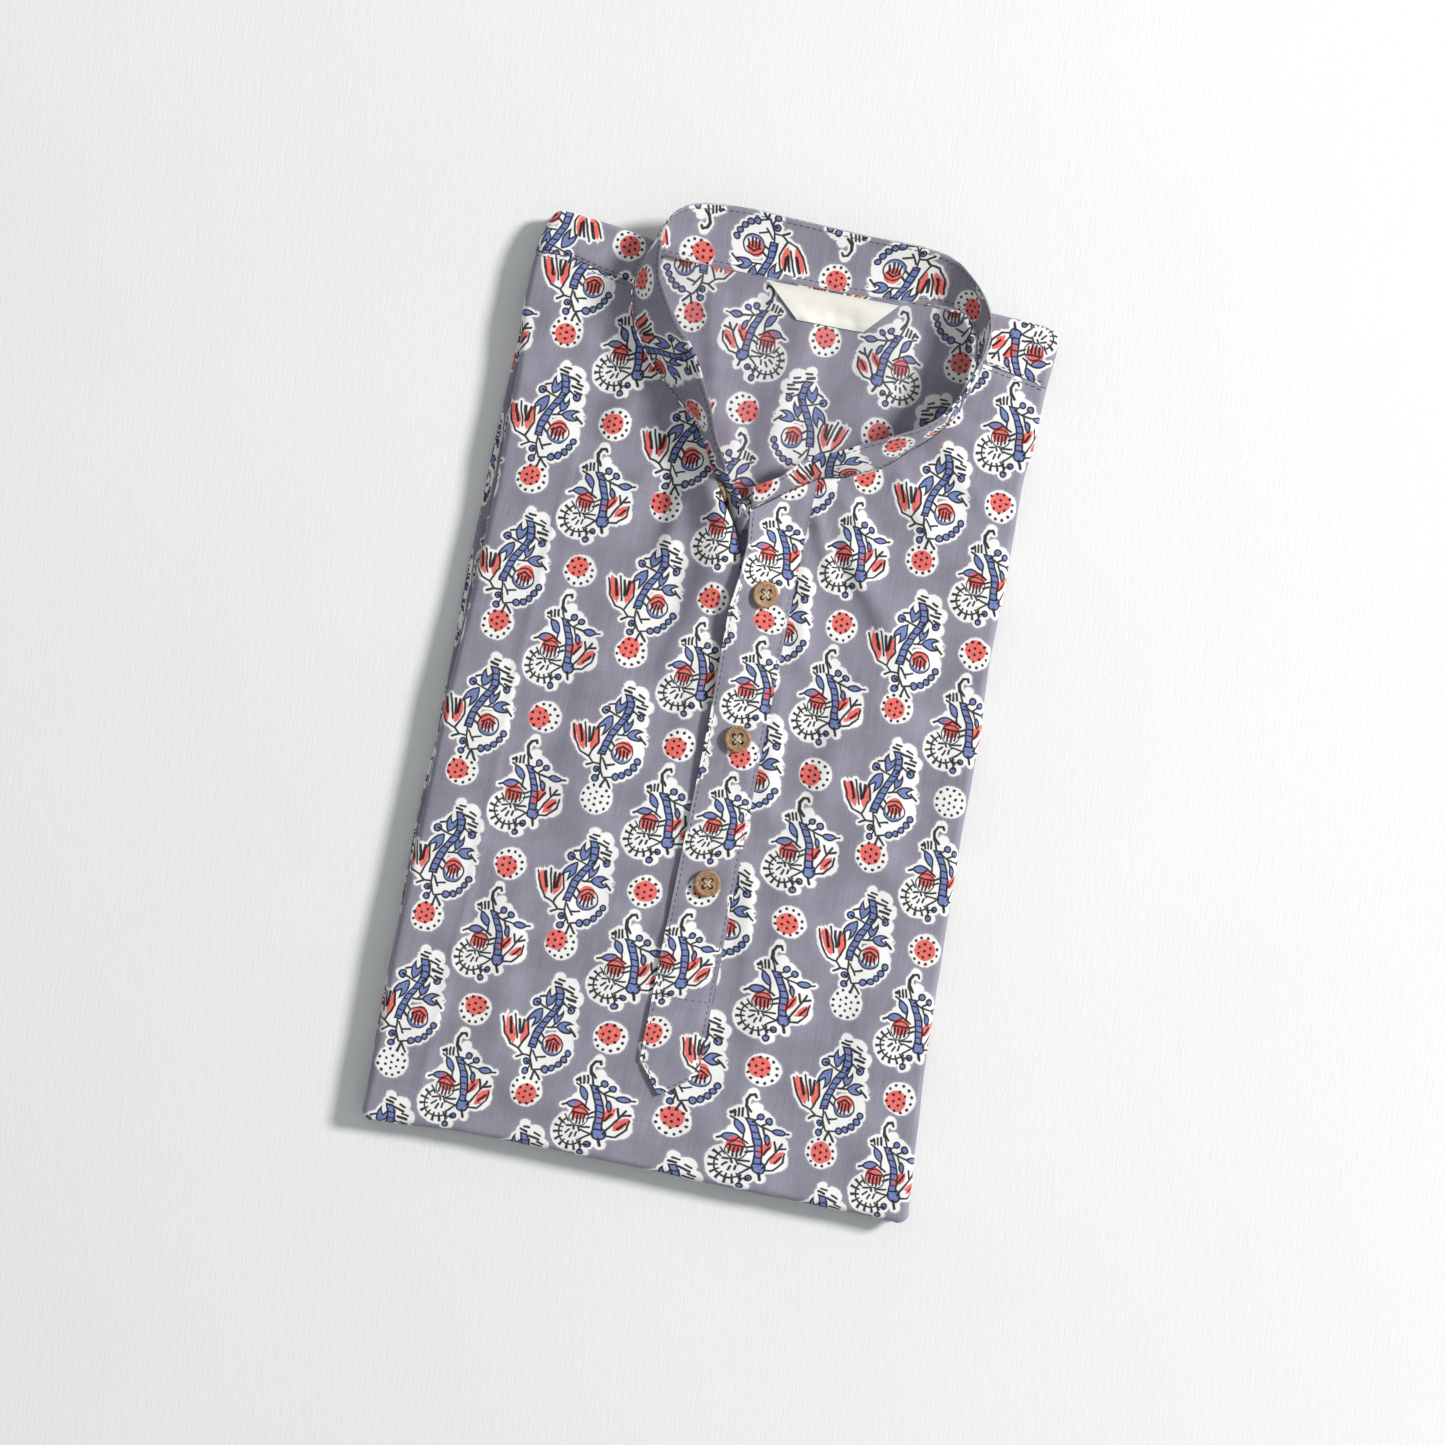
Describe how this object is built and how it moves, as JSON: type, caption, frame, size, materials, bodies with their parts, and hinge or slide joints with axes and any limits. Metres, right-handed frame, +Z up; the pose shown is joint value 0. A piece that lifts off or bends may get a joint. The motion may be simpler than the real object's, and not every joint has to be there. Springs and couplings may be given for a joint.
{
  "type": "kurta tunic",
  "caption": "Folded cotton kurta with a band collar, half placket with a pointed end and wooden buttons, lying flat.",
  "frame": {"origin": "middle of the folded garment's footprint, on the surface that it lies on", "axes": "+Z up, +Y towards the collar, +X towards the side that is on the right when seen from above with the collar at the top"},
  "size_m": [0.2494, 0.4308, 0.032],
  "materials": {
    "printed_cotton": "matt plain weave, block printed",
    "button_wood": "satin",
    "label_tape": "matt woven tape"
  },
  "bodies": {
    "root": {"folded_layers": "printed_cotton", "back": "printed_cotton", "front": "printed_cotton", "yoke_left": "printed_cotton", "yoke_right": "printed_cotton", "collar": "printed_cotton", "placket": "printed_cotton", "placket_under": "printed_cotton", "button_1": "button_wood", "button_2": "button_wood", "button_3": "button_wood", "button_4": "button_wood", "label": "label_tape"}
  },
  "joints": []
}
